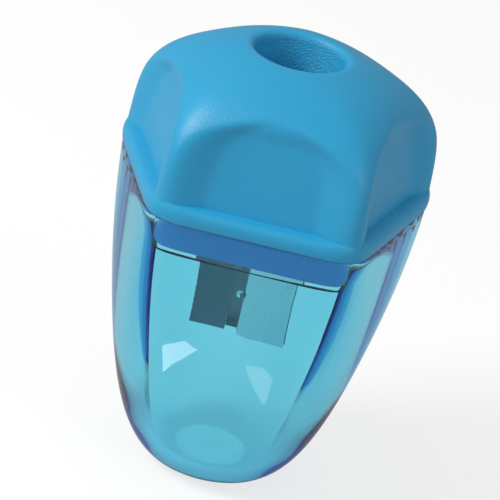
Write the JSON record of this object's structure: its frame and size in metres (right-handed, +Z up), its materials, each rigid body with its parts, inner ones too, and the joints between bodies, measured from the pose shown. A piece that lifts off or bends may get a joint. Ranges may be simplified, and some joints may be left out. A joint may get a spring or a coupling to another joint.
{
  "type": "canister pencil sharpener",
  "caption": "Hand-held canister pencil sharpener with a five-sided domed head, a funnel mouth, a wedge insert inside and a clear tapered shavings receptacle",
  "frame": {"origin": "centre of the receptacle's flat foot, on the pencil axis", "axes": "+Z up along the pencil axis out of the mouth, -Y toward the middle of the front face, +X to the right seen from the front"},
  "size_m": [0.043, 0.0415, 0.0625],
  "materials": {
    "clear_shell": "clear cyan-tinted moulded styrene, gloss",
    "head_plastic": "sky-blue moulded plastic with a fine spark-eroded texture",
    "cast_insert": "dark grey moulded insert with a satin surface",
    "blade_steel": "ground carbon steel",
    "screw_steel": "plated steel"
  },
  "bodies": {
    "receptacle_body": {"receptacle": "clear_shell"},
    "head_body": {"head": "head_plastic", "sharpener_body": "cast_insert", "blade": "blade_steel", "blade_screw": "screw_steel"}
  },
  "joints": [
    {"name": "head_pull_off", "type": "slide", "parent": "receptacle_body", "child": "head_body", "axis": [0, 0, 1], "range_m": [0, 0.045]}
  ]
}
